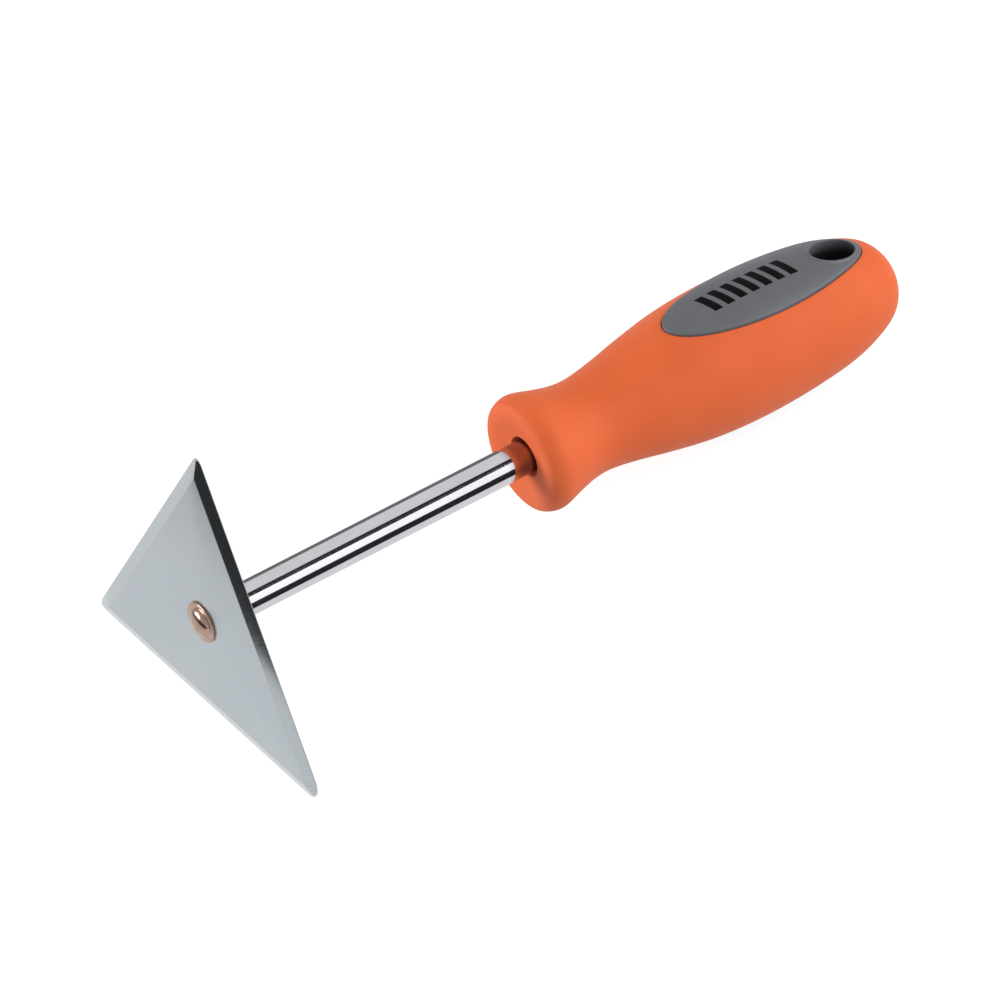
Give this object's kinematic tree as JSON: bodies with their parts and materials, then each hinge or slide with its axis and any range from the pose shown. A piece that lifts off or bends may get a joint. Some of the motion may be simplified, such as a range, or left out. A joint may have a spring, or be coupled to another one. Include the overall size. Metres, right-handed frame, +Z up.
{
  "type": "triangular paint scraper",
  "caption": "Triangular scraper: bevelled steel plate riveted square across a chromed round bar, with a soft overmoulded grip, grey ovals and a hanging hole.",
  "frame": {"origin": "centre of the bounding box on the ground that the tool lies on", "axes": "+X along the tool from the blade to the butt of the handle, +Z up as the tool rests on its blade edge and the belly of its grip, +Y across the blade"},
  "size_m": [0.192, 0.0826, 0.0734],
  "materials": {
    "blade_steel": "fine ground steel, satin",
    "rivet_copper": "copper-plated, polished",
    "shank_chrome": "bright chrome plate",
    "core_plastic": "dark grey moulded plastic, fine texture",
    "grip_rubber": "orange soft-touch overmould, matte"
  },
  "bodies": {
    "root": {"blade": "blade_steel", "rivet": "rivet_copper", "shank": "shank_chrome", "handle_core": "core_plastic", "handle_grip": "grip_rubber"}
  },
  "joints": []
}
